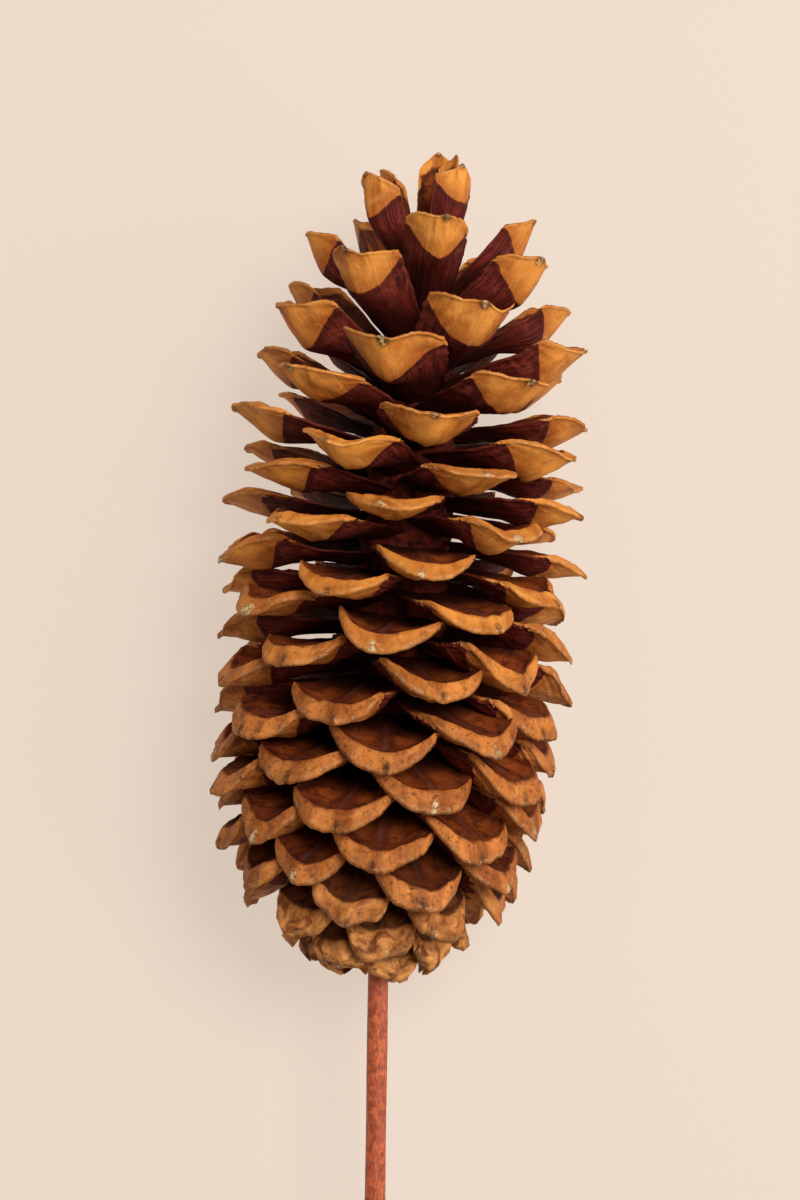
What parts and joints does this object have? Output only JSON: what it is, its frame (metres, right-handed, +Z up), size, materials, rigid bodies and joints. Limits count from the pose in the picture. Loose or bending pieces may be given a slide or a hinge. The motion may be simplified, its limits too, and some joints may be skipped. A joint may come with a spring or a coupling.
{
  "type": "sugar pine cone",
  "caption": "Long open pine cone with spiralled woody scales, fixed by its base on a thin round wooden stick, lying on its side.",
  "frame": {"origin": "on the resting surface, below the middle of the object's bounding box", "axes": "+Y along the cone from its base to its tip, the stick pointing to -Y, +X across, +Z up from the surface it lies on"},
  "size_m": [0.1238, 0.4046, 0.1197],
  "materials": {
    "cone_scales": "dry woody scales, golden tan at their ends and dark red-brown towards the axis, low satin sheen, small grey resin spots",
    "stained_stick": "reddish-brown stained round wood with fine streaks, matte"
  },
  "bodies": {
    "root": {"cone": "cone_scales", "stick": "stained_stick"}
  },
  "joints": []
}
